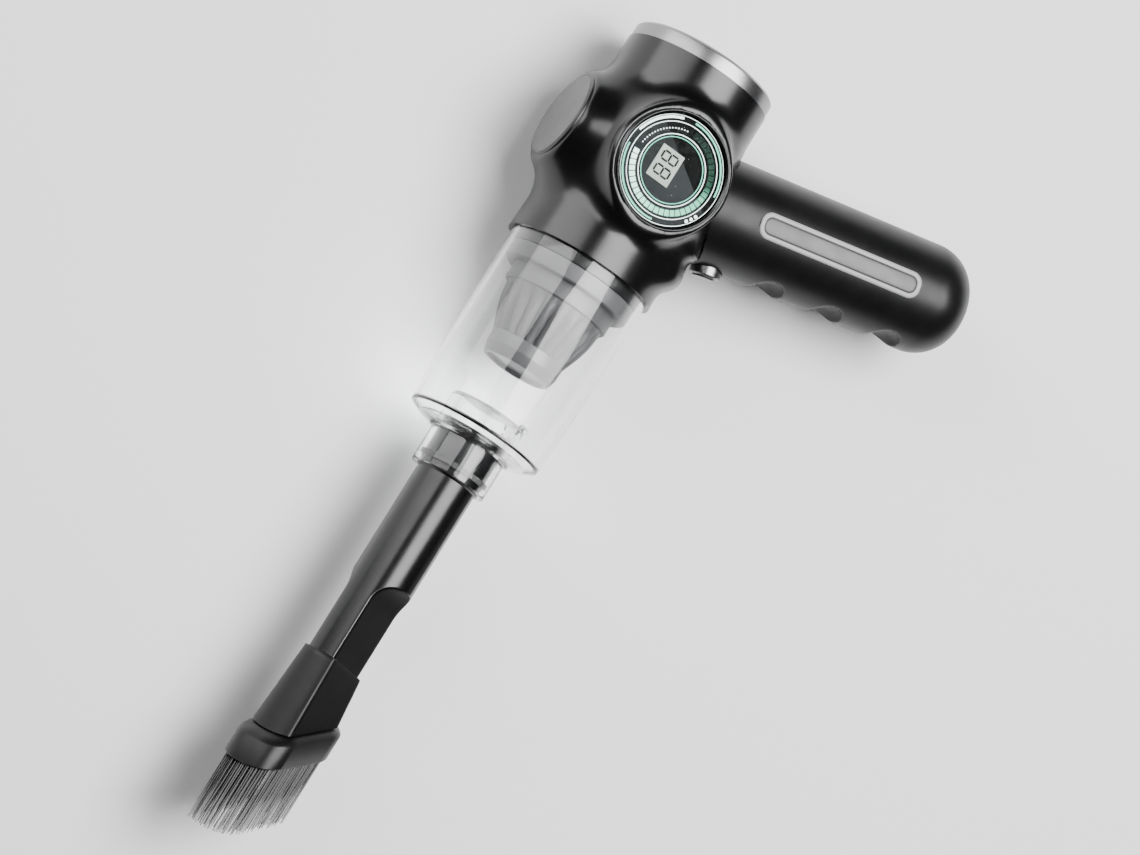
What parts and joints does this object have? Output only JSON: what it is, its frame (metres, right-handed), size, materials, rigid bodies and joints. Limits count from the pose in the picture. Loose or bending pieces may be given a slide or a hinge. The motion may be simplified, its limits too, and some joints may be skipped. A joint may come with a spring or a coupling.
{
  "type": "handheld vacuum",
  "caption": "Cordless handheld vacuum with a clear dust cup, crevice nozzle with a slip-on brush, round display boss and a side handle with finger scallops.",
  "frame": {"origin": "centre of the flat face of the side boss cap that the vacuum rests on", "axes": "+X along the main axis from the brush to the exhaust end, +Y from the handle to the cap on the opposite boss, +Z towards the display"},
  "size_m": [0.3487, 0.1821, 0.0679],
  "materials": {
    "gloss_black": "gloss",
    "satin_black": "satin",
    "chrome": "polished",
    "satin_silver": "satin",
    "grey_disc": "satin",
    "black_trim": "satin",
    "clear_cup": "clear",
    "clear_window": "clear",
    "dial_print": "printed",
    "circuit_board": "satin",
    "light_grey": "satin",
    "mid_grey": "satin",
    "filter_grey": "satin",
    "filter_cloth": "woven",
    "rubber_black": "matte",
    "silicone_clear": "satin",
    "bristle": "satin",
    "steel": "satin",
    "impeller_white": "satin",
    "cell_wrap": "satin",
    "holder_black": "matte",
    "wire_insulation": "satin"
  },
  "bodies": {
    "main_body": {"body_shell_front": "gloss_black", "body_shell_back": "gloss_black", "body_screws": "steel", "display_bezel": "satin_silver", "display_window": "clear_window", "display_dial": "dial_print", "display_board": "circuit_board", "side_cap": "satin_black", "top_cap_ring": "black_trim", "top_cap": "grey_disc", "exhaust_ring": "chrome", "exhaust_grille": "black_trim", "exhaust_filter": "filter_cloth", "motor_can": "steel", "motor_end_plate": "steel", "front_bearing": "steel", "rear_bearing": "steel", "motor_magnets": "steel", "motor_mount": "black_trim", "fan_housing": "black_trim", "handle_shell_front": "satin_black", "handle_shell_back": "satin_black", "handle_screws": "steel", "inlay_frame": "light_grey", "inlay_panel": "mid_grey", "button_spring": "steel", "power_switch": "holder_black", "switch_board": "circuit_board", "control_board": "circuit_board", "battery_cells": "cell_wrap", "battery_contacts": "steel", "battery_holder": "holder_black", "charge_socket": "holder_black", "wiring": "wire_insulation", "cup_spigot": "black_trim", "cup_seal": "rubber_black"},
    "fan": {"impeller": "impeller_white", "motor_shaft": "steel", "motor_rotor": "steel"},
    "power_button": {"power_button": "chrome"},
    "dust_cup": {"dust_cup": "clear_cup", "flap_pin": "steel"},
    "inlet_flap": {"inlet_flap": "silicone_clear"},
    "filter": {"filter_flange": "filter_grey", "filter_medium": "filter_cloth", "filter_cage": "filter_grey", "filter_end_cap": "filter_grey"},
    "nozzle_seal": {"nozzle_seal": "rubber_black"},
    "nozzle": {"nozzle_tube": "gloss_black"},
    "brush": {"brush_sleeve": "satin_black", "brush_bristles": "bristle"}
  },
  "joints": [
    {"name": "fan_spin", "type": "hinge", "parent": "main_body", "child": "fan", "pos_m": [0, 0, 0.034], "axis": [1, 0, 0], "continuous": true},
    {"name": "power_press", "type": "slide", "parent": "main_body", "child": "power_button", "axis": [0.9744, 0.225, 0], "range_m": [0, 0.0015], "stiffness_N_per_m": 400, "springref_m": -0.002},
    {"name": "cup_pull", "type": "slide", "parent": "main_body", "child": "dust_cup", "axis": [-1, 0, 0], "range_m": [0, 0.11]},
    {"name": "filter_pull", "type": "slide", "parent": "main_body", "child": "filter", "axis": [-1, 0, 0], "range_m": [0, 0.045]},
    {"name": "flap_swing", "type": "hinge", "parent": "dust_cup", "child": "inlet_flap", "pos_m": [-0.1094, -0.0144, 0.034], "axis": [0, 0, -1], "range_deg": [0, 38], "stiffness_Nm_per_rad": 0.0005},
    {"name": "nozzle_turn", "type": "hinge", "parent": "dust_cup", "child": "nozzle_seal", "pos_m": [-0.13, 0, 0.034], "axis": [1, 0, 0], "continuous": true},
    {"name": "nozzle_pull", "type": "slide", "parent": "nozzle_seal", "child": "nozzle", "axis": [-1, 0, 0], "range_m": [0, 0.03]},
    {"name": "brush_pull", "type": "slide", "parent": "nozzle", "child": "brush", "axis": [-1, 0, 0], "range_m": [0, 0.036]}
  ],
  "couplings": [
    {"joint": "filter_pull", "follows": "cup_pull", "ratio": 0.4}
  ]
}
